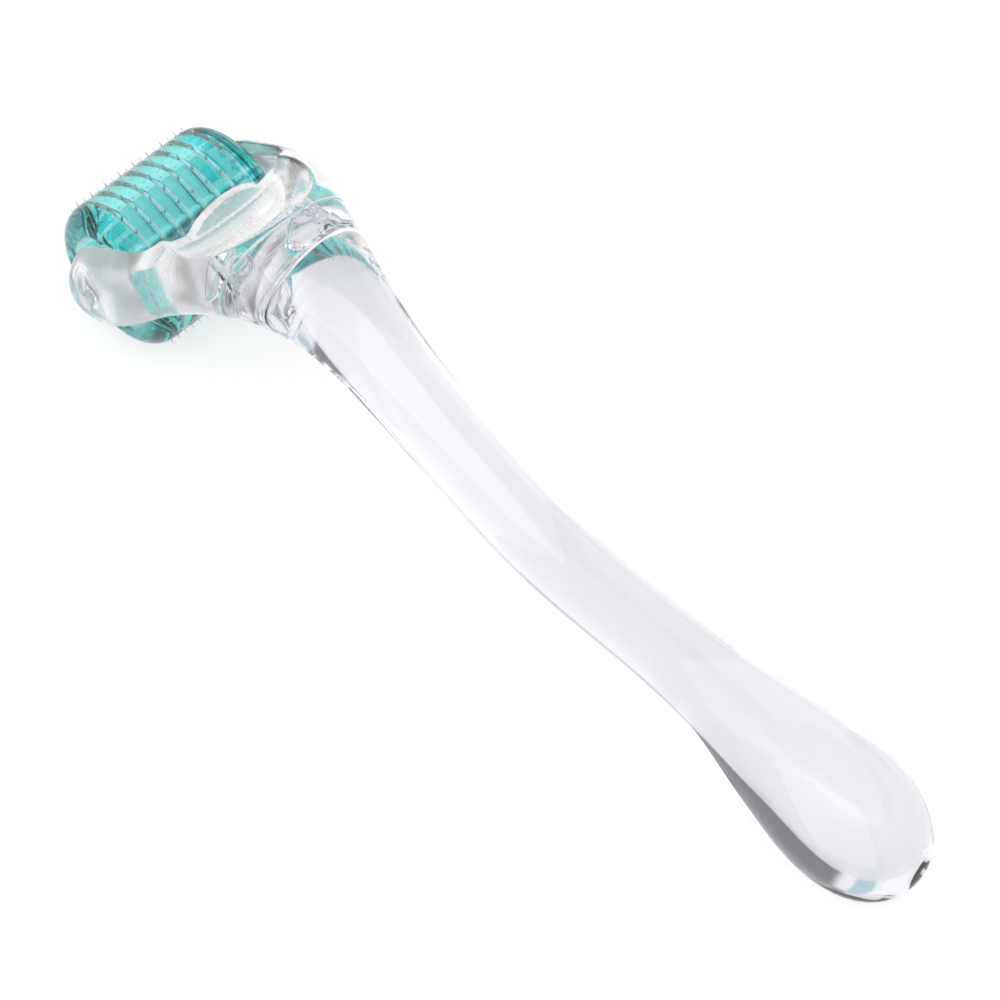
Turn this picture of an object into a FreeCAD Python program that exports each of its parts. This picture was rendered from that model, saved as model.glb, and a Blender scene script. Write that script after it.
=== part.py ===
import FreeCAD, Part
import math
import os
import Sketcher

# Derma roller, millimetres. +X runs from the tail to the roller, +Y to the left, +Z up. The origin
# is on the table under the middle of the object, which rests on its needle tips and on its bulb.
# Each piece is drawn about the roller's own axis, and its Placement lifts it into that frame.

DIMENSIONS = {
    "overall_length": 132.47,
    "roller_radius": 9.6,
    "roller_half_length": 10.8,
    "needle_reach": 0.75,
    "needle_radius": 0.125,
    "needle_root": 6.9,
    "needle_cone": 0.7,
    "needle_blunt": 0.02,
    "needle_count": 24,
    "needle_phase": 0.9,
    "groove_slack": 0.01,
    "ring_count": 8,
    "ring_pitch": 2.2,
    "disc_bore": 6.3,
    "disc_gap": 0.02,
    "seam_chamfer": 0.27,
    "shoulder_radius": 2.8,
    "cap_seat_depth": 1.5,
    "cap_hole_radius": 1.6,
    "cap_recess_radius": 4.8,
    "cap_recess_depth": 0.8,
    "cap_pocket_place": 7.7,
    "cap_pocket_radius": 0.65,
    "cap_pocket_depth": 1.6,
    "axle_radius": 1.0,
    "axle_half_length": 13.4,
    "axle_running_gap": 0.05,
    "boss_radius": 2.2,
    "boss_height": 0.7,
    "arm_inner_face": 11.3,
    "roller_gap_radius": 13.4,
    "gap_back_x": 8.9,
    "gap_corner": 3.2,
    "dish_front_x": 4.0,
    "dish_deep_x": 10.2,
    "dish_length": 8.5,
    "dish_z": 20.5,
    "dish_width": 11.0,
    "dish_depth": 8.4,
    "dish_square": 2.5,
    "lip_thickness": 1.1,
    "lip_half_width": 5.5,
    "lip_height": 3.4,
    "seam_x": 19.8,
    "tongue_x": 14.6,
    "tongue_half_width": 6.0,
    "tongue_bottom": 9.0,
    "tongue_top": 13.6,
    "tongue_root": 1.0,
    "peg_x": 18.0,
    "peg_y": 4.1,
    "peg_radius": 1.35,
    "peg_bottom": 7.6,
    "peg_top": 13.3,
    "peg_bore_run": 10.0,
    "joint_slack": 0.03,
    "arm_end_length": 5.0,
    "tail_length": 12.3,
}

# Stations along the moulded body, head to tail: distance behind the roller axis, height over it,
# half width, half depth and squareness (2 is an ellipse, a larger number is nearer a rectangle).
STATIONS = {
    "boss": (0.8, 1.2, 15.0, 6.9, 2.8),
    "arm": (6.5, 6.55, 14.2, 6.5, 2.8),
    "crotch": (12.5, 11.15, 12.6, 6.2, 2.6),
    "joint": (18.5, 13.4, 10.3, 6.1, 2.4),
    "shoulder": (24.5, 13.65, 8.2, 5.9, 2.1),
    "neck": (31.0, 12.05, 6.25, 5.5, 2.0),
    "throat": (39.5, 8.2, 5.1, 4.9, 2.0),
    "bend": (50.3, 3.85, 4.75, 4.7, 2.0),
    "waist": (63.6, -0.1, 4.65, 4.65, 2.0),
    "shank": (78.5, -0.55, 4.6, 4.6, 2.0),
    "flare": (88.3, -0.45, 5.1, 4.8, 2.0),
    "swell": (97.8, -1.2, 6.8, 5.6, 2.0),
    "belly": (104.5, -1.9, 8.1, 6.1, 2.0),
    "bulb": (110.2, -3.22, 8.7, 6.1, 2.0),
}
STATION_FIELDS = ("x", "z", "width", "depth", "square")

SECTION_POINTS = 24
END_STEPS = (0.45, 0.75, 0.92, 0.99)
END_FULLNESS = 2.2
ARM_END_NARROWING = 0.06
CUTTER_REACH = 60.0
SAME_LENGTH = 1e-6

AXLE_X = "dims.overall_length / 2 - dims.roller_radius - dims.needle_reach"
AXLE_Z = "dims.roller_radius + dims.needle_reach"
SEAM_Y = "dims.ring_pitch * (dims.ring_count - 1) / 2"
EAST = FreeCAD.Vector(1, 0, 0)
LEFT = FreeCAD.Vector(0, 1, 0)
UP = FreeCAD.Vector(0, 0, 1)


# ---- the sheet, and small helpers that bind a property to it ----

def make_sheet(doc):
    sheet = doc.addObject("Spreadsheet::Sheet", "dims")
    cells = dict(DIMENSIONS)
    for name, values in STATIONS.items():
        for field, value in zip(STATION_FIELDS, values):
            cells[f"{name}_{field}"] = value
    for row, (alias, value) in enumerate(cells.items(), start=1):
        sheet.set(f"A{row}", str(value))
        sheet.setAlias(f"A{row}", alias)
    doc.recompute()
    return sheet


def bind(item, **formulas):
    for name, formula in formulas.items():
        item.setExpression(name.replace("__", "."), formula)


def place_on_axle(piece, turn=FreeCAD.Rotation(), across=None):
    """Lift a piece from the roller's axis into the row frame, `across` mm to the left of it."""
    piece.Placement = FreeCAD.Placement(FreeCAD.Vector(), turn)
    bind(piece, Placement__Base__x=AXLE_X, Placement__Base__z=AXLE_Z)
    if across:
        bind(piece, Placement__Base__y=across)


def cylinder(doc, name, radius, length, turn=FreeCAD.Rotation(), **place):
    rod = doc.addObject("Part::Cylinder", name)
    rod.Placement = FreeCAD.Placement(FreeCAD.Vector(), turn)
    bind(rod, Radius=radius, Height=length)
    bind(rod, **{f"Placement__Base__{axis}": formula for axis, formula in place.items()})
    return rod


def box(doc, name, low, size):
    block = doc.addObject("Part::Box", name)
    bind(block, Length=size[0], Width=size[1], Height=size[2])
    bind(block, Placement__Base__x=low[0], Placement__Base__y=low[1], Placement__Base__z=low[2])
    return block


def combine(doc, kind, name, first, *others):
    """One boolean of the document: Part::Cut, Part::Common or Part::MultiFuse."""
    result = doc.addObject(kind, name)
    if kind == "Part::MultiFuse":
        result.Shapes = [first, *others]
    else:
        result.Base = first
        result.Tool = others[0]
    return result


# ---- the roller: sketched and turned pieces ----

def origin_feature(body, role):
    return next(item for item in body.Origin.OriginFeatures if item.Role == role)


def new_body(doc, label):
    body = doc.addObject("PartDesign::Body", label)
    body.Label = label
    return body


def new_sketch(body, name, role):
    sketch = body.newObject("Sketcher::SketchObject", name)
    sketch.AttachmentSupport = [(origin_feature(body, role), "")]
    sketch.MapMode = "FlatFace"
    return sketch


def hold(sketch, name, formula, *constraint):
    """Add one dimension to a sketch and bind it to the sheet."""
    number = sketch.addConstraint(Sketcher.Constraint(*constraint, 1.0))
    sketch.renameConstraint(number, name)
    sketch.setExpression(f"Constraints.{name}", formula)


def draw_circle(sketch, name, radius, across="0", up="0"):
    start = FreeCAD.Vector(1, 1, 0)
    circle = sketch.addGeometry(Part.Circle(start, UP, 1.0))
    hold(sketch, f"{name}_radius", radius, "Radius", circle)
    hold(sketch, f"{name}_across", across, "DistanceX", -1, 1, circle, 3)
    hold(sketch, f"{name}_up", up, "DistanceY", -1, 1, circle, 3)


def draw_outline(sketch, corners):
    """Draw a closed outline; every corner is a pair of formulas, across and up."""
    count = len(corners)
    turns = [2 * math.pi * index / count for index in range(count)]
    start = [FreeCAD.Vector(math.cos(turn), math.sin(turn), 0) for turn in turns]
    for index in range(count):
        sketch.addGeometry(Part.LineSegment(start[index], start[(index + 1) % count]))
    for index in range(count):
        following = (index + 1) % count
        sketch.addConstraint(Sketcher.Constraint("Coincident", index, 2, following, 1))
    for index, (across, up) in enumerate(corners):
        hold(sketch, f"across{index}", across, "DistanceX", -1, 1, index, 1)
        hold(sketch, f"up{index}", up, "DistanceY", -1, 1, index, 1)


def turn_outline(body, name, axis, sketch):
    turned = body.newObject("PartDesign::Revolution", name)
    turned.Profile = sketch
    turned.ReferenceAxis = (origin_feature(body, axis), [""])
    turned.Angle = 360
    return turned


def ring_of(body, name, feature):
    """Repeat one feature round the roller's axis, once for each needle of a ring."""
    ring = body.newObject("PartDesign::PolarPattern", name)
    ring.Originals = [feature]
    ring.Axis = (origin_feature(body, "Y_Axis"), [""])
    ring.Angle = 360
    bind(ring, Occurrences="dims.needle_count")
    body.Tip = ring
    return ring


def rim_edges(feature, radius):
    """Names of the round edges of one radius."""
    names = []
    for number, edge in enumerate(feature.Shape.Edges, start=1):
        if isinstance(edge.Curve, Part.Circle) and abs(edge.Curve.Radius - radius) < SAME_LENGTH:
            names.append(f"Edge{number}")
    return names


def cut_needle_grooves(body, seams):
    """Cut the half-round seats of a ring of needles into each seam face named by its place."""
    sketch = new_sketch(body, "groove_ends", "YZ_Plane")
    bind(sketch, AttachmentOffset__Base__z="dims.needle_root - dims.groove_slack")
    for index, seam in enumerate(seams):
        draw_circle(sketch, f"seat{index}", "dims.needle_radius + dims.groove_slack", seam)
    groove = body.newObject("PartDesign::Pocket", "groove")
    groove.Profile = sketch
    groove.Reversed = True
    bind(groove, Length="dims.roller_radius")
    return ring_of(body, "grooves", groove)


def needle_disc(doc, number):
    """One ring-shaped slice of the roller, with a needle seat for each half of a needle."""
    body = new_body(doc, f"needle_disc_{number}")
    sketch = new_sketch(body, "annulus", "XZ_Plane")
    draw_circle(sketch, "rim", "dims.roller_radius")
    draw_circle(sketch, "bore", "dims.disc_bore")
    slice_pad = body.newObject("PartDesign::Pad", "slice")
    slice_pad.Profile = sketch
    slice_pad.SideType = "Symmetric"
    bind(slice_pad, Length="dims.ring_pitch - dims.disc_gap")
    doc.recompute()
    chamfer = body.newObject("PartDesign::Chamfer", "seam_chamfer")
    chamfer.Base = (slice_pad, rim_edges(slice_pad, doc.dims.roller_radius))
    bind(chamfer, Size="dims.seam_chamfer")
    doc.recompute()
    cut_needle_grooves(body, ("-dims.ring_pitch / 2", "dims.ring_pitch / 2"))
    middle = DIMENSIONS["ring_count"] / 2
    turn = FreeCAD.Rotation(LEFT, doc.dims.needle_phase)
    place_on_axle(body, turn, f"({number} - {middle}) * dims.ring_pitch")
    return body


def end_cap(doc, side, turn):
    """A rounded end of the roller: seats on the core, with a ring of blind pockets inside."""
    body = new_body(doc, f"end_cap_{side}")
    inner = f"{SEAM_Y} + dims.disc_gap / 2"
    outer = "dims.roller_half_length"
    corners = [
        ("dims.disc_bore", inner),
        ("dims.roller_radius - dims.seam_chamfer", inner),
        ("dims.roller_radius", f"{inner} + dims.seam_chamfer"),
        ("dims.roller_radius", outer),
        ("dims.cap_recess_radius", outer),
        ("dims.cap_recess_radius", f"{outer} - dims.cap_recess_depth"),
        ("dims.cap_hole_radius", f"{outer} - dims.cap_recess_depth"),
        ("dims.cap_hole_radius", f"{inner} + dims.cap_seat_depth"),
        ("dims.disc_bore", f"{inner} + dims.cap_seat_depth"),
    ]
    sketch = new_sketch(body, "half_section", "XY_Plane")
    draw_outline(sketch, corners)
    turned = turn_outline(body, "turned", "Y_Axis", sketch)
    doc.recompute()
    rim = [name for name in rim_edges(turned, doc.dims.roller_radius)
           if turned.Shape.getElement(name).CenterOfMass.y > doc.dims.roller_half_length - SAME_LENGTH]
    shoulder = body.newObject("PartDesign::Fillet", "shoulder")
    shoulder.Base = (turned, rim)
    bind(shoulder, Radius="dims.shoulder_radius")
    doc.recompute()
    cut_needle_grooves(body, (SEAM_Y,))
    doc.recompute()
    pocket_sketch = new_sketch(body, "pocket_end", "XZ_Plane")
    bind(pocket_sketch, AttachmentOffset__Base__z=f"-({inner})")
    draw_circle(pocket_sketch, "pocket", "dims.cap_pocket_radius", "dims.cap_pocket_place")
    pocket = body.newObject("PartDesign::Pocket", "pocket")
    pocket.Profile = pocket_sketch
    bind(pocket, Length="dims.cap_pocket_depth")
    ring_of(body, "pockets", pocket)
    place_on_axle(body, turn)
    return body


def roller_core(doc):
    """The hub that carries discs and caps and runs on the axle."""
    body = new_body(doc, "roller_core")
    sketch = new_sketch(body, "annulus", "XZ_Plane")
    draw_circle(sketch, "seat", "dims.disc_bore - dims.disc_gap")
    draw_circle(sketch, "bore", "dims.axle_radius + dims.axle_running_gap")
    hub = body.newObject("PartDesign::Pad", "hub")
    hub.Profile = sketch
    hub.SideType = "Symmetric"
    bind(hub, Length=f"2 * ({SEAM_Y} + dims.cap_seat_depth - dims.disc_gap)")
    place_on_axle(body)
    return body


def needle_ring(doc, number):
    """One ring of loose needles, each a turned pin with a cone tip."""
    body = new_body(doc, f"needle_ring_{number}")
    body.AllowCompound = True
    reach = "dims.roller_radius + dims.needle_reach"
    sketch = new_sketch(body, "half_needle", "XZ_Plane")
    draw_outline(sketch, [
        ("0", "dims.needle_root"),
        ("dims.needle_radius", "dims.needle_root"),
        ("dims.needle_radius", f"{reach} - dims.needle_cone"),
        ("dims.needle_blunt", reach),
        ("0", reach),
    ])
    needle = turn_outline(body, "needle", "Z_Axis", sketch)
    ring_of(body, "needles", needle)
    middle = (DIMENSIONS["ring_count"] + 1) / 2
    turn = FreeCAD.Rotation(LEFT, doc.dims.needle_phase)
    place_on_axle(body, turn, f"({number} - {middle}) * dims.ring_pitch")
    return body


# ---- the moulded body: one smooth envelope, divided into fork and handle ----

def section(sheet, name, centre, along, width_scale=1.0, depth_scale=1.0):
    """A closed smooth section of the envelope, square to the direction `along`."""
    half_width = getattr(sheet, f"{name}_width") * width_scale
    half_depth = getattr(sheet, f"{name}_depth") * depth_scale
    power = 2 / getattr(sheet, f"{name}_square")
    rise = along.cross(LEFT).normalize()
    points = []
    for index in range(SECTION_POINTS):
        turn = 2 * math.pi * index / SECTION_POINTS
        across = math.copysign(abs(math.cos(turn)) ** power, math.cos(turn)) * half_width
        up = math.copysign(abs(math.sin(turn)) ** power, math.sin(turn)) * half_depth
        points.append(centre + LEFT * across + rise * up)
    curve = Part.BSplineCurve()
    curve.interpolate(Points=points, PeriodicFlag=True)
    return Part.Wire([curve.toShape()])


def end_shrink(step):
    """How far a section has closed in at a fraction `step` of the way into a rounded end."""
    return (1 - step ** END_FULLNESS) ** (1 / END_FULLNESS)


def moulded_envelope(doc, sheet):
    """Outer surface of fork and handle together, lofted along the S-shaped centre line."""
    centres = {}
    for name in STATIONS:
        centres[name] = FreeCAD.Vector(-getattr(sheet, f"{name}_x"), 0, getattr(sheet, f"{name}_z"))
    spine = Part.BSplineCurve()
    spine.interpolate(list(centres.values()))
    sections = []
    tangents = {}
    for name, centre in centres.items():
        tangents[name] = FreeCAD.Vector(*spine.tangent(spine.parameter(centre))[0]).normalize()
        sections.append(section(sheet, name, centre, tangents[name]))
    head, tail = "boss", "bulb"
    for step in END_STEPS:
        shrink = end_shrink(step)
        front = centres[head] - tangents[head] * (sheet.arm_end_length * step)
        narrow = 1 - ARM_END_NARROWING * step ** 2
        sections.insert(0, section(sheet, head, front, tangents[head], narrow, shrink))
        back = centres[tail] + tangents[tail] * (sheet.tail_length * step)
        sections.append(section(sheet, tail, back, tangents[tail], shrink, shrink))
    sections[-1] = Part.Vertex(centres[tail] + tangents[tail] * sheet.tail_length)
    envelope = doc.addObject("Part::Feature", "moulded_envelope")
    envelope.Shape = Part.makeLoft(sections, True, False)
    return envelope


def tongue_block(doc, name, slack, back):
    """The flat tongue that joins handle to fork, `slack` larger all round for its socket."""
    low = (f"-{back}", f"-dims.tongue_half_width - {slack}", f"dims.tongue_bottom - {slack}")
    size = (f"{back} - dims.tongue_x + {slack}",
            f"2 * (dims.tongue_half_width + {slack})",
            f"dims.tongue_top - dims.tongue_bottom + 2 * {slack}")
    return box(doc, name, low, size)


def peg_rod(doc, name, side, slack, bottom):
    return cylinder(doc, name, f"dims.peg_radius + {slack}", f"dims.peg_top + {slack} - ({bottom})",
                    x="-dims.peg_x", y=f"{side} * dims.peg_y", z=bottom)


def peg_bores(doc, name):
    """Bores for both pegs, open through the underside, where the pegs go in."""
    low = "dims.peg_bottom - dims.peg_bore_run"
    rods = [peg_rod(doc, f"{name}_{side}", side, "dims.joint_slack", low) for side in (1, -1)]
    return combine(doc, "Part::MultiFuse", name, *rods)


def locking_peg(doc, label, side):
    peg = peg_rod(doc, label, side, "0", "dims.peg_bottom")
    bind(peg, Placement__Base__x=f"{AXLE_X} - dims.peg_x",
         Placement__Base__z=f"{AXLE_Z} + dims.peg_bottom")
    peg.Label = label
    return peg


def handle(doc, envelope):
    """The clear grip: the envelope behind the seam, with a tongue on its front."""
    length = "dims.overall_length"
    reach = CUTTER_REACH
    keep = box(doc, "behind_seam", (f"-{length} - dims.seam_x", f"-{reach}", f"-{reach}"),
               (length, f"2 * {reach}", f"2 * {reach}"))
    blank = combine(doc, "Part::Common", "grip_blank", envelope, keep)
    tongue = tongue_block(doc, "tongue", "0", "(dims.seam_x + dims.tongue_root)")
    joined = combine(doc, "Part::MultiFuse", "grip_with_tongue", blank, tongue)
    piece = combine(doc, "Part::Cut", "handle", joined, peg_bores(doc, "handle_peg_bores"))
    place_on_axle(piece)
    return piece


def rounded(doc, name, base, edges, radius):
    """Round some edges of a cutter; `edges` picks them by a test on the edge."""
    doc.recompute()
    chosen = [number for number, edge in enumerate(base.Shape.Edges, start=1) if edges(edge)]
    result = doc.addObject("Part::Fillet", name)
    result.Base = base
    result.Edges = [(number, radius, radius) for number in chosen]
    return result


def roller_gap(doc, sheet):
    """The space between the arms, less a small thrust boss round each end of the axle."""
    across = FreeCAD.Rotation(EAST, -90)
    width = "2 * dims.arm_inner_face"
    back = -sheet.gap_back_x

    def is_round(edge):
        return isinstance(edge.Curve, Part.Circle)

    def stands_at_back(edge):
        first, last = [vertex.Point for vertex in edge.Vertexes]
        in_back_face = max(abs(first.x - back), abs(last.x - back)) < SAME_LENGTH
        return in_back_face and abs(first.y - last.y) < SAME_LENGTH

    around = cylinder(doc, "gap_round", "dims.roller_gap_radius", width, across,
                      y="-dims.arm_inner_face")
    above = box(doc, "gap_above", ("-dims.gap_back_x", "-dims.arm_inner_face", "0"),
                (f"{CUTTER_REACH}", width, f"{CUTTER_REACH}"))
    around = rounded(doc, "gap_round_soft", around, is_round, sheet.gap_corner)
    above = rounded(doc, "gap_above_soft", above, stands_at_back, sheet.gap_corner)
    gap = combine(doc, "Part::MultiFuse", "gap_whole", around, above)
    bosses = []
    for name, start in (("left", "dims.arm_inner_face - dims.boss_height"),
                        ("right", "-dims.arm_inner_face - dims.boss_height")):
        height = "2 * dims.boss_height"
        bosses.append(cylinder(doc, f"boss_{name}", "dims.boss_radius", height, across, y=start))
    both = combine(doc, "Part::MultiFuse", "thrust_bosses", *bosses)
    return combine(doc, "Part::Cut", "roller_gap", gap, both)


def dish(doc, sheet):
    """The hollow between the arms, behind the lip: a trough that rises and closes at its back."""
    back = FreeCAD.Vector(-1, 0, 0)
    front = FreeCAD.Vector(-sheet.dish_front_x, 0, sheet.dish_z)
    deep = FreeCAD.Vector(-sheet.dish_deep_x, 0, sheet.dish_z)
    sections = [section(sheet, "dish", front, back), section(sheet, "dish", deep, back)]
    for step in END_STEPS:
        shrink = end_shrink(step)
        centre = deep + back * (sheet.dish_length * step)
        sections.append(section(sheet, "dish", centre, back, shrink, shrink))
    trough = doc.addObject("Part::Feature", "dish")
    trough.Shape = Part.makeLoft(sections, True, False)
    return trough


def crescent_lip(doc, sheet):
    """A thin upright wall, cut to a half-oval, that closes the front of the dish."""
    oval = Part.makeCylinder(1.0, sheet.lip_thickness, FreeCAD.Vector(), EAST)
    stretch = FreeCAD.Matrix()
    stretch.scale(1.0, sheet.lip_half_width, sheet.lip_height)
    lip = doc.addObject("Part::Feature", "crescent_lip")
    lip.Shape = oval.transformGeometry(stretch)
    bind(lip, Placement__Base__x="-dims.gap_back_x - dims.lip_thickness",
         Placement__Base__z="dims.dish_z - dims.dish_depth")
    return lip


def fork(doc, sheet, envelope):
    """The frosted head: two arms round the roller, the dish and lip, and the tongue's socket."""
    reach = CUTTER_REACH
    keep = box(doc, "before_seam", ("-dims.seam_x", f"-{reach}", f"-{reach}"),
               (f"2 * {reach}", f"2 * {reach}", f"2 * {reach}"))
    blank = combine(doc, "Part::Common", "fork_blank", envelope, keep)
    dished = combine(doc, "Part::Cut", "fork_dished", blank, dish(doc, sheet))
    lipped = combine(doc, "Part::MultiFuse", "fork_lipped", dished, crescent_lip(doc, sheet))
    across = FreeCAD.Rotation(EAST, -90)
    axle_bore = cylinder(doc, "axle_bore", "dims.axle_radius + dims.joint_slack",
                         "2 * (dims.axle_half_length + dims.joint_slack)", across,
                         y="-dims.axle_half_length - dims.joint_slack")
    socket = tongue_block(doc, "socket", "dims.joint_slack", "(dims.seam_x + dims.tongue_root)")
    hollows = combine(doc, "Part::MultiFuse", "fork_hollows", roller_gap(doc, sheet), axle_bore, socket,
                      peg_bores(doc, "fork_peg_bores"))
    piece = combine(doc, "Part::Cut", "fork", lipped, hollows)
    place_on_axle(piece)
    return piece


def axle_pin(doc):
    """The steel shaft held in the blind bores of the two arms."""
    pin = cylinder(doc, "axle_pin", "dims.axle_radius", "2 * dims.axle_half_length",
                   FreeCAD.Rotation(EAST, -90), y="-dims.axle_half_length")
    bind(pin, Placement__Base__x=AXLE_X, Placement__Base__z=AXLE_Z)
    return pin


# ---- the whole assembly ----

def build(doc):
    sheet = make_sheet(doc)
    envelope = moulded_envelope(doc, sheet)
    phase = FreeCAD.Rotation(LEFT, sheet.needle_phase)
    flip = FreeCAD.Rotation(UP, 180)
    pieces = [
        handle(doc, envelope),
        fork(doc, sheet, envelope),
        locking_peg(doc, "locking_peg_left", 1),
        locking_peg(doc, "locking_peg_right", -1),
        axle_pin(doc),
        roller_core(doc),
        end_cap(doc, "left", phase),
        end_cap(doc, "right", phase.multiply(flip)),
    ]
    for number in range(1, DIMENSIONS["ring_count"]):
        pieces.append(needle_disc(doc, number))
    for number in range(1, DIMENSIONS["ring_count"] + 1):
        pieces.append(needle_ring(doc, number))
    doc.recompute()
    return pieces


def check(doc, pieces):
    """Stop if any object failed or any piece is empty or broken."""
    for item in doc.Objects:
        if {"Invalid", "Error"} & set(item.State):
            raise RuntimeError(f"{item.Label} did not compute: {item.State}")
    for piece in pieces:
        if piece.Shape.isNull() or not piece.Shape.isValid():
            raise RuntimeError(f"{piece.Label} has no valid shape")


def write_pieces(pieces):
    os.makedirs("parts", exist_ok=True)
    for piece in pieces:
        piece.Shape.exportStep(f"parts/{piece.Label}.step")
        low = piece.Shape.BoundBox
        print(f"{piece.Label}: {len(piece.Shape.Solids)} solids, {piece.Shape.Volume:.2f} mm3, "
              f"x {low.XMin:.2f} {low.XMax:.2f}, y {low.YMin:.2f} {low.YMax:.2f}, "
              f"z {low.ZMin:.3f} {low.ZMax:.2f}")


document = FreeCAD.newDocument("derma_roller")
sub_parts = build(document)
check(document, sub_parts)
write_pieces(sub_parts)
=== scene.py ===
import math

import bmesh
import bpy
import numpy as np
from mathutils import Matrix, Vector
from mathutils.bvhtree import BVHTree
from mathutils.geometry import convex_hull_2d


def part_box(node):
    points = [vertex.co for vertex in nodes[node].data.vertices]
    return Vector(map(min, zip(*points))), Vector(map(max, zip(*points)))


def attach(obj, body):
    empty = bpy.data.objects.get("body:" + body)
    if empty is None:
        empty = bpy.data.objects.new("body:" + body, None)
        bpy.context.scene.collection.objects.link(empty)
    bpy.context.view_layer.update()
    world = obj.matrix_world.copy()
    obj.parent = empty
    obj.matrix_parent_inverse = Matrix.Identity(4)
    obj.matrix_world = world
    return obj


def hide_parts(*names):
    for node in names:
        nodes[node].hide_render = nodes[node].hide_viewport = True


# The looks of the derma roller: a clear acrylic handle, a frosted head, a teal roller and steel needles.
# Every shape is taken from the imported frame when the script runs. Lengths named here are in millimetres.

MM = 0.001

# Studio. Each dark patch of the sky: azimuth, elevation, radius and soft edge in degrees, and shade.
FLOOR_SIZE_M = 8.0
FLOOR_WHITE = 0.45
FLOOR_GLOW = 0.6
SKY_LIGHT = 1.0
SKY_PATCHES = (
    (-98, 56, 20, 9, (0.20, 0.20, 0.22)),
    (-35, 72, 12, 6, (0.25, 0.25, 0.28)),
    (-15, 46, 11, 5, (0.50, 0.68, 0.74)),
    (-76, 3, 10, 8, (0.5, 0.5, 0.53)),
)
KEY_LAMP_PLACE_M = (-0.5, 0.5, 1.0)
KEY_LAMP_SIZE_M = 1.4
KEY_LAMP_POWER = 8
LIGHT_BOUNCES = 40

# Camera: its place from the middle of the roller, its own axes, and its lens.
CAMERA_PLACE = (-356.15, 274.66, 556.47)
CAMERA_SIDE = (-0.690, -0.7236, -0.0156)
CAMERA_UP = (0.5774, -0.5633, 0.5911)
CAMERA_BACK = (-0.4365, 0.3989, 0.8065)
CAMERA_LENS = 216.72
CAMERA_SENSOR = 36.0

# Acrylic. A joint's index of 1.0 lets light go straight on from one moulding into the next.
# Absorption per metre is the density times one minus the colour.
ACRYLIC_IOR = 1.49
JOINT_IOR = 1.0
FROSTED_CLEARNESS = 0.82
TEAL = (0.0, 0.82, 0.82, 1)
DISC_TINT = 150.0
CORE_TINT = 30.0
# Painted shade: a deeper teal given to the pocket faces of the end caps, standing in for the shade in
# those recesses.
POCKET_PAINTED_SHADE_TEAL = (0.12, 0.78, 0.80, 1)
GROOVE_FROST = 0.2
GROOVE_CLEARNESS = 0.78

# Roller. A face's lean is the cosine between its normal and the way out from the axis; shares are
# of the piece's radius.
PRESSED_LEAN = 0.15
RIM_SHARE = 0.995
# The pocket ring, lip and depth pick the end-cap faces that get the painted shade.
POCKET_RING = (0.72, 0.88)
POCKET_LIP = 0.02
POCKET_DEPTH = 1.7
GROOVE_LEAN = (0.2, 0.97)
GROOVE_SHARE = 0.93
NEEDLE_SHOWN = 9.0

# Locking pegs.
PEG_COLUMNS = 64
PEG_RIM = 0.22
PEG_RIM_STEPS = 5
PEG_SIDE_LEAN = 0.02

# Handle: the tube of rings, and the tongue at its front, a box with rounded corners.
GRIP_COLUMNS = 128
GRIP_ROWS = 190
GRIP_END_ROWS = 40
GRIP_END = 16.0
SEAM_RIM = 0.12
SMOOTH_ROUNDS = 14
TONGUE_HALF_WIDTH = 6.0
TONGUE_HALF_HEIGHT = 2.3
TONGUE_RISE = 0.5
TONGUE_SQUARENESS = 8

# Head: the remeshed solid, and how its polished outside and its socket are told apart.
FORK_VOXEL = 0.2
FORK_RELAX = 10
SKIN_SLICE = 0.2
SKIN_GAP = 0.28
SOCKET_HALF_WIDTH = 6.2
SOCKET_HEIGHT = 6.2
SOCKET_FLATNESS = 0.985
SEAM_FLATNESS = 0.97


# ---- shader helpers ----

def new_material(name):
    """A material with one Principled shader: the material, its tree and the shader."""
    material = bpy.data.materials.new(name)
    material.use_nodes = True
    tree = material.node_tree
    tree.nodes.clear()
    output = tree.nodes.new("ShaderNodeOutputMaterial")
    shader = tree.nodes.new("ShaderNodeBsdfPrincipled")
    tree.links.new(shader.outputs["BSDF"], output.inputs["Surface"])
    return material, tree, shader


def own_place(tree, stretch=(1.0, 1.0, 1.0)):
    """The piece's own coordinates in metres, stretched along its axes."""
    place = tree.nodes.new("ShaderNodeTexCoord")
    mapping = tree.nodes.new("ShaderNodeMapping")
    mapping.inputs["Scale"].default_value = stretch
    tree.links.new(place.outputs["Object"], mapping.inputs["Vector"])
    return mapping.outputs["Vector"]


def noise(tree, vector, grain_mm, detail=2.0, roughness=0.5):
    """A noise whose lumps are about grain_mm across."""
    node = tree.nodes.new("ShaderNodeTexNoise")
    node.inputs["Scale"].default_value = 1 / (grain_mm * MM)
    node.inputs["Detail"].default_value = detail
    node.inputs["Roughness"].default_value = roughness
    tree.links.new(vector, node.inputs["Vector"])
    return node.outputs["Fac"]


def ramp(tree, fac, *stops):
    """Turn a number into a colour or a number by (place, colour) stops."""
    node = tree.nodes.new("ShaderNodeValToRGB")
    steps = node.color_ramp.elements
    while len(steps) < len(stops):
        steps.new(0.5)
    for step, (place, colour) in zip(steps, stops):
        step.position = place
        step.color = colour if len(colour) == 4 else (*colour, 1.0)
    tree.links.new(fac, node.inputs["Fac"])
    return node.outputs["Color"]


def spread(tree, fac, low, high):
    """Map 0 to 1 onto low to high."""
    node = tree.nodes.new("ShaderNodeMapRange")
    node.inputs["To Min"].default_value = low
    node.inputs["To Max"].default_value = high
    tree.links.new(fac, node.inputs["Value"])
    return node.outputs["Result"]


def attribute(tree, name):
    """The value that roller_piece marks on each face under this name."""
    node = tree.nodes.new("ShaderNodeAttribute")
    node.attribute_name = name
    return node.outputs["Fac"]


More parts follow.
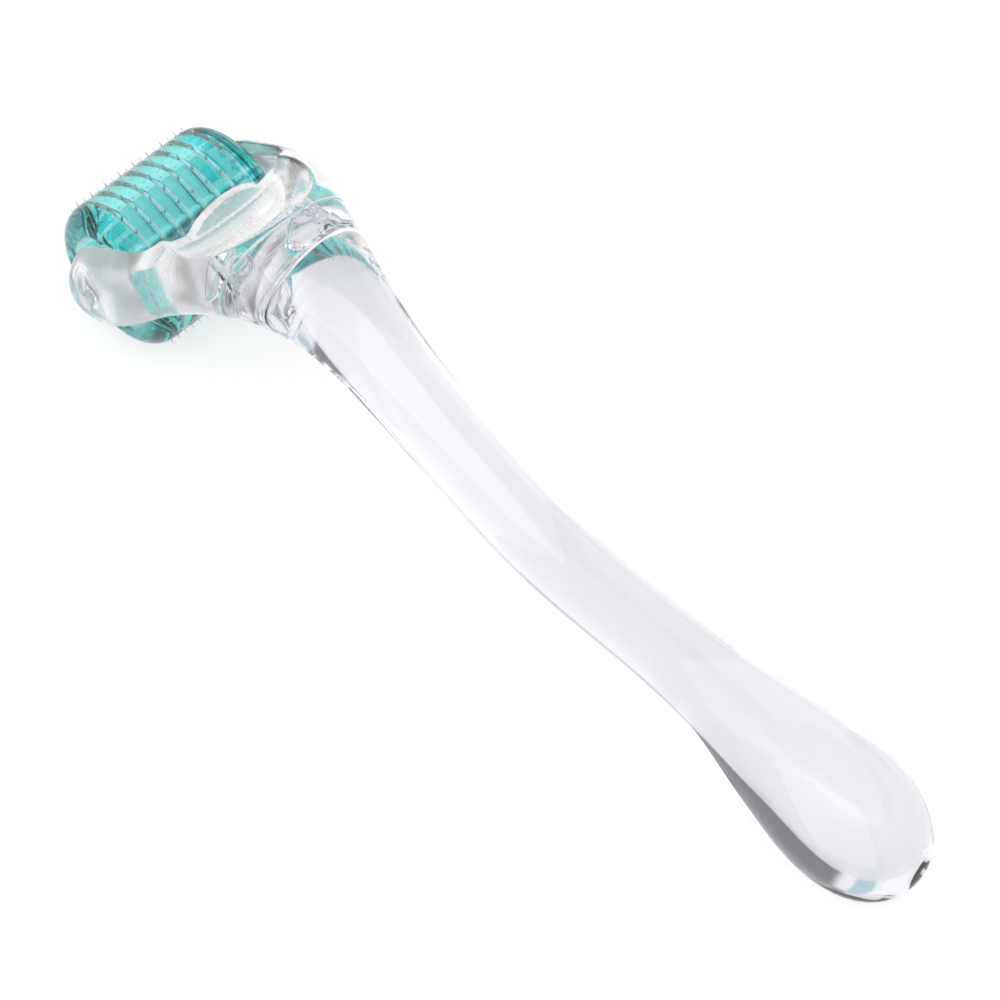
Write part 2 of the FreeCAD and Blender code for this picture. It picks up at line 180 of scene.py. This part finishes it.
def bump(tree, shader, height, depth_mm):
    """Raise the surface by up to depth_mm where height is 1."""
    node = tree.nodes.new("ShaderNodeBump")
    node.inputs["Strength"].default_value = 1.0
    node.inputs["Distance"].default_value = depth_mm * MM
    tree.links.new(height, node.inputs["Height"])
    tree.links.new(node.outputs["Normal"], shader.inputs["Normal"])


# ---- materials ----

def clear_plastic(name, tint=(0.84, 0.84, 0.87), roughness=(0.0, 0.02)):
    """Polished clear acrylic with faint flow lines along its length."""
    material, tree, shader = new_material(name)
    along = own_place(tree, (0.12, 1.0, 1.0))
    flow = noise(tree, along, 3.0, 2.0)
    deep = tuple(channel * 0.985 for channel in tint)
    colour = ramp(tree, flow, (0.35, deep), (0.65, tint))
    tree.links.new(colour, shader.inputs["Base Color"])
    rough = spread(tree, noise(tree, along, 1.2, 3.0), *roughness)
    tree.links.new(rough, shader.inputs["Roughness"])
    shader.inputs["Transmission Weight"].default_value = 1.0
    shader.inputs["IOR"].default_value = ACRYLIC_IOR
    bump(tree, shader, flow, 0.004)
    return material


def frosted_plastic(name):
    """Clear plastic with a sanded face: milky, soft to look through, with a fine tooled grain."""
    material, tree, shader = new_material(name)
    place = own_place(tree)
    grain = noise(tree, place, 0.22, 3.0, 0.6)
    colour = ramp(tree, grain, (0.3, (0.98, 0.98, 0.985)), (0.7, (1.0, 1.0, 1.0)))
    tree.links.new(colour, shader.inputs["Base Color"])
    tree.links.new(spread(tree, grain, 0.16, 0.34), shader.inputs["Roughness"])
    shader.inputs["Transmission Weight"].default_value = FROSTED_CLEARNESS
    shader.inputs["IOR"].default_value = ACRYLIC_IOR
    bump(tree, shader, grain, 0.012)
    return material


def bonded_joint(name):
    """Where two clear mouldings are joined: light goes straight on, past a faint trace of the joint."""
    material, tree, shader = new_material(name)
    trace = noise(tree, own_place(tree), 0.8)
    colour = ramp(tree, trace, (0.3, (0.97, 0.97, 0.975)), (0.7, (1.0, 1.0, 1.0)))
    tree.links.new(colour, shader.inputs["Base Color"])
    shader.inputs["Roughness"].default_value = 0.0
    shader.inputs["Transmission Weight"].default_value = 1.0
    shader.inputs["IOR"].default_value = JOINT_IOR
    return material


def teal_plastic(name, density):
    """Transparent teal moulding whose colour deepens with thickness. The mesh marks three kinds of
    face: `pressed`, where light goes straight on, `pocket`, painted shade as a deeper teal, and `edge`,
    frosted."""
    material, tree, shader = new_material(name)
    place = own_place(tree)
    cloud = noise(tree, place, 2.0, 2.0)
    colour = ramp(tree, cloud, (0.3, (0.95, 0.995, 0.995)), (0.7, (1.0, 1.0, 1.0)))
    pocket_shade_mix = tree.nodes.new("ShaderNodeMix")
    pocket_shade_mix.data_type = "RGBA"
    tree.links.new(attribute(tree, "pocket"), pocket_shade_mix.inputs["Factor"])
    tree.links.new(colour, pocket_shade_mix.inputs[6])
    # Painted shade: the pocket faces take this deeper teal in place of the shade in the recesses.
    pocket_shade_mix.inputs[7].default_value = POCKET_PAINTED_SHADE_TEAL
    tree.links.new(pocket_shade_mix.outputs[2], shader.inputs["Base Color"])
    scuffs = spread(tree, noise(tree, place, 0.4), 0.02, 0.07)
    edge = attribute(tree, "edge")
    frost = tree.nodes.new("ShaderNodeMath")
    frost.operation = "MAXIMUM"
    tree.links.new(scuffs, frost.inputs[0])
    tree.links.new(spread(tree, edge, 0.0, GROOVE_FROST), frost.inputs[1])
    tree.links.new(frost.outputs["Value"], shader.inputs["Roughness"])
    clearness = spread(tree, edge, 1.0, GROOVE_CLEARNESS)
    tree.links.new(clearness, shader.inputs["Transmission Weight"])
    shader.inputs["IOR"].default_value = ACRYLIC_IOR
    straight = tree.nodes.new("ShaderNodeBsdfPrincipled")
    tree.links.new(pocket_shade_mix.outputs[2], straight.inputs["Base Color"])
    straight.inputs["Roughness"].default_value = 0.0
    straight.inputs["Transmission Weight"].default_value = 1.0
    straight.inputs["IOR"].default_value = JOINT_IOR
    mix = tree.nodes.new("ShaderNodeMixShader")
    tree.links.new(attribute(tree, "pressed"), mix.inputs["Fac"])
    tree.links.new(shader.outputs["BSDF"], mix.inputs[1])
    tree.links.new(straight.outputs["BSDF"], mix.inputs[2])
    tinted = tree.nodes.new("ShaderNodeVolumeAbsorption")
    tinted.inputs["Color"].default_value = TEAL
    tinted.inputs["Density"].default_value = density
    output = next(node for node in tree.nodes if node.type == "OUTPUT_MATERIAL")
    tree.links.new(mix.outputs["Shader"], output.inputs["Surface"])
    tree.links.new(tinted.outputs["Volume"], output.inputs["Volume"])
    return material


def brushed_steel(name, dark=(0.56, 0.55, 0.57), light=(0.80, 0.79, 0.80), metal=1.0):
    """Steel with fine lines drawn along the roller's axis."""
    material, tree, shader = new_material(name)
    place = own_place(tree, (1.0, 0.15, 1.0))
    lines = noise(tree, place, 0.08, 2.0)
    tree.links.new(ramp(tree, lines, (0.3, dark), (0.7, light)), shader.inputs["Base Color"])
    tree.links.new(spread(tree, lines, 0.18, 0.34), shader.inputs["Roughness"])
    shader.inputs["Metallic"].default_value = metal
    return material


# ---- studio: camera, floor, light ----

def place_camera(centre):
    """A long lens, high over the handle's left side, square to the view the object is sold in."""
    data = bpy.data.cameras.new("camera")
    data.lens = CAMERA_LENS
    data.sensor_width = CAMERA_SENSOR
    camera = bpy.data.objects.new("camera", data)
    turn = Matrix((CAMERA_SIDE, CAMERA_UP, CAMERA_BACK)).transposed().to_4x4()
    camera.matrix_world = Matrix.Translation(centre + Vector(CAMERA_PLACE) * MM) @ turn
    bpy.context.scene.collection.objects.link(camera)
    bpy.context.scene.camera = camera


def white_floor():
    """A plain white table that glows a little, like a light table, so clear plastic stays bright."""
    bpy.ops.mesh.primitive_plane_add(size=FLOOR_SIZE_M)
    floor = bpy.context.object
    floor.name = "floor"
    material, tree, shader = new_material("floor_white")
    shader.inputs["Base Color"].default_value = (FLOOR_WHITE, FLOOR_WHITE, FLOOR_WHITE, 1)
    shader.inputs["Roughness"].default_value = 1.0
    shader.inputs["Emission Color"].default_value = (1, 1, 1, 1)
    shader.inputs["Emission Strength"].default_value = FLOOR_GLOW
    floor.data.materials.append(material)


def towards(azimuth, elevation):
    """The direction of a place on the sky; azimuth is measured from +X towards +Y, in degrees."""
    turn, rise = math.radians(azimuth), math.radians(elevation)
    return Vector((math.cos(turn) * math.cos(rise), math.sin(turn) * math.cos(rise), math.sin(rise)))


def sky_patch(tree, colour, direction, radius, edge, shade):
    """Darken a round part of the white sky, given its angular radius and soft edge in degrees."""
    place = tree.nodes.new("ShaderNodeTexCoord")
    dot = tree.nodes.new("ShaderNodeVectorMath")
    dot.operation = "DOT_PRODUCT"
    dot.inputs[1].default_value = direction
    tree.links.new(place.outputs["Generated"], dot.inputs[0])
    fade = tree.nodes.new("ShaderNodeMapRange")
    fade.interpolation_type = "SMOOTHSTEP"
    fade.inputs["From Min"].default_value = math.cos(math.radians(radius + edge))
    fade.inputs["From Max"].default_value = math.cos(math.radians(radius))
    tree.links.new(dot.outputs["Value"], fade.inputs["Value"])
    mix = tree.nodes.new("ShaderNodeMix")
    mix.data_type = "RGBA"
    tree.links.new(fade.outputs["Result"], mix.inputs["Factor"])
    tree.links.new(colour, mix.inputs[6])
    mix.inputs[7].default_value = (*shade, 1)
    return mix.outputs[2]


def soft_lamp(name, aim):
    """One large soft lamp, turned to the middle of the roller."""
    data = bpy.data.lights.new(name, "AREA")
    data.shape = "RECTANGLE"
    data.size = data.size_y = KEY_LAMP_SIZE_M
    data.energy = KEY_LAMP_POWER
    light = bpy.data.objects.new(name, data)
    light.location = aim + Vector(KEY_LAMP_PLACE_M)
    light.rotation_euler = (-Vector(KEY_LAMP_PLACE_M)).to_track_quat("-Z", "Y").to_euler()
    bpy.context.scene.collection.objects.link(light)


def studio(centre):
    """White surroundings with four soft darker patches, and one large soft lamp."""
    world = bpy.data.worlds.new("world")
    world.use_nodes = True
    tree = world.node_tree
    white = tree.nodes.new("ShaderNodeRGB")
    white.outputs[0].default_value = (1, 1, 1, 1)
    colour = white.outputs[0]
    for azimuth, elevation, radius, edge, shade in SKY_PATCHES:
        colour = sky_patch(tree, colour, towards(azimuth, elevation), radius, edge, shade)
    background = tree.nodes["Background"]
    tree.links.new(colour, background.inputs["Color"])
    background.inputs["Strength"].default_value = SKY_LIGHT
    bpy.context.scene.world = world
    soft_lamp("key", centre)


# ---- smooth meshes taken from the frame ----

def skin_tree(obj):
    """A tree that finds where a ray meets one CAD node."""
    mesh = obj.data
    return BVHTree.FromPolygons([v.co.copy() for v in mesh.vertices],
                                [tuple(p.vertices) for p in mesh.polygons])


def meet(tree, start, direction):
    """Where a ray meets the node, or None."""
    return tree.ray_cast(start, direction)[0]


def smooth_rows(rows, rounds):
    """Even out small facets along and round a tube of rings; its two end rings stay."""
    for _ in range(rounds):
        inner = (rows[:-2] + 2 * rows[1:-1] + rows[2:]) / 4
        rows[1:-1] = (np.roll(inner, 1, 1) + 2 * inner + np.roll(inner, -1, 1)) / 4
    return rows


def turn_outwards(mesh):
    """Make all face normals of a closed mesh point out of it."""
    shell = bmesh.new()
    shell.from_mesh(mesh)
    bmesh.ops.recalc_face_normals(shell, faces=shell.faces)
    shell.to_mesh(mesh)
    shell.free()
    mesh.update()


def tube_mesh(name, rings, caps):
    """A closed tube of rings of points, with a point at each end."""
    count = len(rings[0])
    points = [tuple(point) for ring in rings for point in ring] + [tuple(cap) for cap in caps]
    faces = []
    for row in range(len(rings) - 1):
        for column in range(count):
            following = (column + 1) % count
            faces.append((row * count + column, row * count + following,
                          (row + 1) * count + following, (row + 1) * count + column))
    first, last = len(points) - 2, len(points) - 1
    base = (len(rings) - 1) * count
    for column in range(count):
        following = (column + 1) % count
        faces.append((first, following, column))
        faces.append((last, base + column, base + following))
    mesh = bpy.data.meshes.new(name)
    mesh.from_pydata(points, [], faces)
    turn_outwards(mesh)
    return mesh


def add_piece(name, mesh, body, slot, materials, *replaced):
    """Put a mesh in the scene as a piece that rides a body and stands in for CAD nodes."""
    piece = bpy.data.objects.new(name, mesh)
    bpy.context.scene.collection.objects.link(piece)
    for material in materials:
        mesh.materials.append(material)
    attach(piece, body)
    if replaced:
        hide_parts(*replaced)
    return piece


def smooth_shading(mesh, angle):
    """Shade smoothly, except over edges sharper than an angle in degrees."""
    mesh.polygons.foreach_set("use_smooth", [True] * len(mesh.polygons))
    mesh.set_sharp_from_angle(angle=math.radians(angle))


def grip_rows(seam_x):
    """Rings on the skin of the handle from its seam to the tip of its bulb, and the tip itself."""
    tree = skin_tree(nodes["handle"])
    low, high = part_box("handle")
    reach = high.z - low.z
    turns = np.arange(GRIP_COLUMNS) * 2 * math.pi / GRIP_COLUMNS
    pivot_x = low.x + GRIP_END * MM

    def middle(x):
        top = meet(tree, Vector((x, 0, high.z + reach)), Vector((0, 0, -1)))
        bottom = meet(tree, Vector((x, 0, low.z - reach)), Vector((0, 0, 1)))
        return Vector((x, 0, (top.z + bottom.z) / 2))

    rows = []
    for step in range(GRIP_ROWS):
        centre = middle(seam_x + (pivot_x - seam_x) * step / GRIP_ROWS)
        rows.append([meet(tree, centre, Vector((0, math.cos(turn), math.sin(turn)))) for turn in turns])
    pivot = middle(pivot_x)
    for step in range(GRIP_END_ROWS):
        tilt = math.pi / 2 * step / GRIP_END_ROWS
        back, out = math.sin(tilt), math.cos(tilt)
        rows.append([meet(tree, pivot, Vector((-back, out * math.cos(turn), out * math.sin(turn))))
                     for turn in turns])
    tip = meet(tree, pivot, Vector((-1, 0, 0)))
    return np.array(rows), np.array(tip), turns


def handle_piece():
    """The clear grip as one smooth tube: tongue, seam face with a soft rim, shaft and bulb."""
    seam_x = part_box("fork")[0].x
    body, tip, turns = grip_rows(seam_x - SEAM_RIM * MM)
    body = smooth_rows(body, SMOOTH_ROUNDS)
    seam_middle = body[0].mean(0)
    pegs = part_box("locking_peg_left")
    tongue_z = (pegs[0].z + pegs[1].z) / 2 + TONGUE_RISE * MM
    power = 2 / TONGUE_SQUARENESS

    def tongue_ring(x, inset):
        wide, tall = TONGUE_HALF_WIDTH * MM - inset, TONGUE_HALF_HEIGHT * MM - inset
        across = np.sign(np.cos(turns)) * np.abs(np.cos(turns)) ** power * wide
        up = np.sign(np.sin(turns)) * np.abs(np.sin(turns)) ** power * tall
        return np.stack([np.full_like(across, x), across, tongue_z + up], 1)

    def face_ring(scale, x):
        ring = seam_middle + (body[0] - seam_middle) * scale
        ring[:, 0] = x
        return ring

    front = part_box("handle")[1].x
    rings = [tongue_ring(front, 2.0 * MM), tongue_ring(front, 0.5 * MM), tongue_ring(front, 0.15 * MM),
             tongue_ring(front - 0.15 * MM, 0), tongue_ring(seam_x + 0.1 * MM, 0),
             tongue_ring(seam_x - 0.02 * MM, -0.1 * MM),
             face_ring(0.97, seam_x - 0.02 * MM), face_ring(0.985, seam_x - 0.05 * MM)]
    rings += list(body)
    cap = np.array([front, 0, tongue_z])
    mesh = tube_mesh("handle_smooth", rings, [cap, tip])
    smooth_shading(mesh, 40)
    add_piece("handle_grip", mesh, "head_and_handle", "clear_grip",
              [finishes["clear_grip"], bonded], "handle")
    for face in mesh.polygons:
        flat = max(abs(face.normal.x), abs(face.normal.y), abs(face.normal.z)) > 0.99
        face.material_index = int(face.center.x > seam_x - 0.03 * MM and flat)


def near_hull(centres, axis):
    """Which face centres lie close to the outline of their own thin slice across an axis."""
    slices = np.floor(centres[:, axis] / (SKIN_SLICE * MM)).astype(int)
    outside = np.zeros(len(centres), bool)
    for number in np.unique(slices):
        members = np.nonzero(slices == number)[0]
        flat = np.delete(centres[members], axis, 1)
        corners = convex_hull_2d([tuple(point) for point in flat])
        if len(corners) < 3:
            outside[members] = True
            continue
        hull = flat[corners]
        edge = np.roll(hull, -1, 0) - hull
        length = np.maximum((edge ** 2).sum(1), 1e-18)
        offset = flat[:, None, :] - hull[None]
        along = np.clip((offset * edge[None]).sum(2) / length, 0, 1)
        gap = offset - along[..., None] * edge[None]
        outside[members] = np.sqrt((gap ** 2).sum(2)).min(1) < SKIN_GAP * MM
    return outside


def outer_skin(mesh):
    """For every face, whether it lies on the outside of the piece, seen along or from above."""
    centres = np.empty(len(mesh.polygons) * 3)
    mesh.polygons.foreach_get("center", centres)
    centres = centres.reshape(-1, 3)
    return near_hull(centres, 0) | near_hull(centres, 2)


def fork_piece():
    """The frosted head: its CAD solid with soft rims, polished outside and frosted inside.
    Its materials are 0 the polished outside, 1 the frosted inside and 2 the joint to the handle."""
    source = nodes["fork"]
    mesh = source.data.copy()
    piece = add_piece("fork_head", mesh, "head_and_handle", "frosted_head", [], "fork")
    mesh.materials.clear()
    remesh = piece.modifiers.new("remesh", "REMESH")
    remesh.mode = "VOXEL"
    remesh.voxel_size = FORK_VOXEL * MM
    snap = piece.modifiers.new("snap", "SHRINKWRAP")
    snap.target = source
    relax = piece.modifiers.new("relax", "SMOOTH")
    relax.factor = 0.5
    relax.iterations = FORK_RELAX
    depsgraph = bpy.context.evaluated_depsgraph_get()
    smooth = bpy.data.meshes.new_from_object(piece.evaluated_get(depsgraph))
    piece.modifiers.clear()
    smooth.name = "fork_smooth"
    piece.data = smooth
    smooth.materials.clear()
    for material in (finishes["clear_head"], finishes["frosted_head"], bonded):
        smooth.materials.append(material)
    smooth_shading(smooth, 60)
    seam_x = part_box("fork")[0].x
    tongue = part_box("handle")[1].x
    outside = outer_skin(smooth)
    peg_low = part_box("locking_peg_right")[0]
    kinds = []
    for face, outer in zip(smooth.polygons, outside):
        normal, centre = face.normal, face.center
        joint = centre.x < tongue + 0.1 * MM and abs(centre.y) < SOCKET_HALF_WIDTH * MM
        in_seam = centre.x < seam_x + 0.05 * MM and normal.x < -SEAM_FLATNESS
        at_peg_height = peg_low.z < centre.z < peg_low.z + SOCKET_HEIGHT * MM
        flat = max(abs(normal.x), abs(normal.y), abs(normal.z)) > SOCKET_FLATNESS
        in_socket = joint and at_peg_height and flat and not outer
        if in_seam or in_socket:
            kinds.append(2)
        else:
            kinds.append(0 if outer else 1)
    smooth.polygons.foreach_set("material_index", kinds)


def peg_piece(side):
    """A locking peg with a soft rim and a shallow dimple in its top."""
    node = f"locking_peg_{side}"
    low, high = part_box(node)
    middle = (low + high) / 2
    radius = (high.x - low.x) / 2
    rim = PEG_RIM * MM
    turns = np.arange(PEG_COLUMNS) * 2 * math.pi / PEG_COLUMNS
    profile = [(radius - rim, low.z)]
    for step in range(PEG_RIM_STEPS + 1):
        turn = math.pi / 2 * step / PEG_RIM_STEPS
        profile.append((radius - rim + rim * math.sin(turn), low.z + rim - rim * math.cos(turn)))
    for step in range(PEG_RIM_STEPS + 1):
        turn = math.pi / 2 * step / PEG_RIM_STEPS
        profile.append((radius - rim + rim * math.cos(turn), high.z - rim + rim * math.sin(turn)))
    profile += [(radius * 0.6, high.z), (radius * 0.5, high.z - rim / 2), (radius * 0.1, high.z - rim)]
    rings = [np.stack([middle.x + out * np.cos(turns), middle.y + out * np.sin(turns),
                       np.full(PEG_COLUMNS, up)], 1) for out, up in profile]
    caps = [(middle.x, middle.y, low.z), (middle.x, middle.y, high.z - rim)]
    mesh = tube_mesh(f"{node}_smooth", rings, caps)
    smooth_shading(mesh, 50)
    add_piece(f"peg_{side}", mesh, "head_and_handle", "clear_peg",
              [finishes["clear_peg"], bonded], node)
    for face in mesh.polygons:
        face.material_index = int(abs(face.normal.z) < PEG_SIDE_LEAN)


def roller_piece(node, name):
    """A disc or end cap of the roller, with its pressed, pocket and groove-edge faces marked."""
    mesh = nodes[node].data.copy()
    mesh.materials.clear()
    low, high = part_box(node)
    axis = (low + high) / 2
    inwards = roller_centre.y - axis.y
    is_cap = node.startswith("end_cap")
    add_piece(name, mesh, "roller", "roller_teal", [finishes["roller_teal"]], node)
    radius = (high.x - low.x) / 2
    inner_y = high.y if inwards > 0 else low.y
    marks = {"pressed": [], "pocket": [], "edge": []}
    for face in mesh.polygons:
        out = Vector((face.center.x - axis.x, 0, face.center.z - axis.z))
        lean = abs(face.normal.dot(out.normalized()))
        share = out.length / radius
        outer_end = is_cap and face.normal.y * inwards < 0
        depth = abs(face.center.y - inner_y) / MM
        in_ring = POCKET_RING[0] < share < POCKET_RING[1]
        pocket = is_cap and in_ring and POCKET_LIP < depth < POCKET_DEPTH
        pressed = lean < PRESSED_LEAN and share < RIM_SHARE and not outer_end
        edge = GROOVE_LEAN[0] < lean < GROOVE_LEAN[1] and share > GROOVE_SHARE and not outer_end
        marks["pressed"].append(float(pressed or pocket))
        # The pocket mark picks the faces that the material paints with a deeper teal as shade.
        marks["pocket"].append(float(pocket))
        marks["edge"].append(float(edge))
    for mark, values in marks.items():
        mesh.attributes.new(mark, "FLOAT", "FACE").data.foreach_set("value", values)


def needle_piece(number):
    """A ring of needles with shorter roots, because the photograph shows no roots in the teal."""
    node = f"needle_ring_{number}"
    mesh = nodes[node].data.copy()
    mesh.materials.clear()
    low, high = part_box("roller_core")
    middle = Vector((low + high) / 2)
    for vertex in mesh.vertices:
        out = Vector((vertex.co.x - middle.x, 0, vertex.co.z - middle.z))
        if out.length < NEEDLE_SHOWN * MM:
            vertex.co += out.normalized() * (NEEDLE_SHOWN * MM - out.length)
    mesh.update()
    add_piece(f"needles_{number}", mesh, "roller", "needle_steel", [finishes["needle_steel"]], node)


# ---- the object ----

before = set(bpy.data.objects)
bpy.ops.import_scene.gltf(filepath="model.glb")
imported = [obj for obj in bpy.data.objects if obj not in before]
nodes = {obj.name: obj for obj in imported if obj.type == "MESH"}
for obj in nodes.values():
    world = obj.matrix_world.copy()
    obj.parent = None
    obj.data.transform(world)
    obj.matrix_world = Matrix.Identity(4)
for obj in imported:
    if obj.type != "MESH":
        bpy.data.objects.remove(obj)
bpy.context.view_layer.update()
scene = bpy.context.scene
scene.view_settings.view_transform = "Standard"
scene.cycles.max_bounces = LIGHT_BOUNCES
scene.cycles.transmission_bounces = LIGHT_BOUNCES

roller_low, roller_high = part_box("roller_core")
roller_centre = (Vector(roller_low) + Vector(roller_high)) / 2
place_camera(roller_centre)
white_floor()
studio(roller_centre)

finishes = {
    "clear_grip": clear_plastic("clear_grip_acrylic"),
    "clear_head": clear_plastic("clear_head_acrylic", (0.985, 0.985, 0.99), (0.02, 0.06)),
    "frosted_head": frosted_plastic("frosted_head_acrylic"),
    "clear_peg": clear_plastic("clear_peg_acrylic"),
    "axle_steel": brushed_steel("axle_brushed_steel"),
    "needle_steel": brushed_steel("needle_brushed_steel",
                                  (0.42, 0.42, 0.45), (0.70, 0.70, 0.72), 0.9),
    "roller_teal": teal_plastic("roller_teal_acrylic", DISC_TINT),
    "roller_core_teal": teal_plastic("roller_core_acrylic", CORE_TINT),
}
bonded = bonded_joint("bonded_joint_acrylic")
for node in nodes.values():
    for slot in node.material_slots:
        slot.material = finishes[slot.material.name.split(".")[0]]
handle_piece()
fork_piece()
for number in range(1, 8):
    roller_piece(f"needle_disc_{number}", f"roller_disc_{number}")
for number in range(1, 9):
    needle_piece(number)
for side in ("left", "right"):
    roller_piece(f"end_cap_{side}", f"roller_cap_{side}")
peg_piece("left")
peg_piece("right")
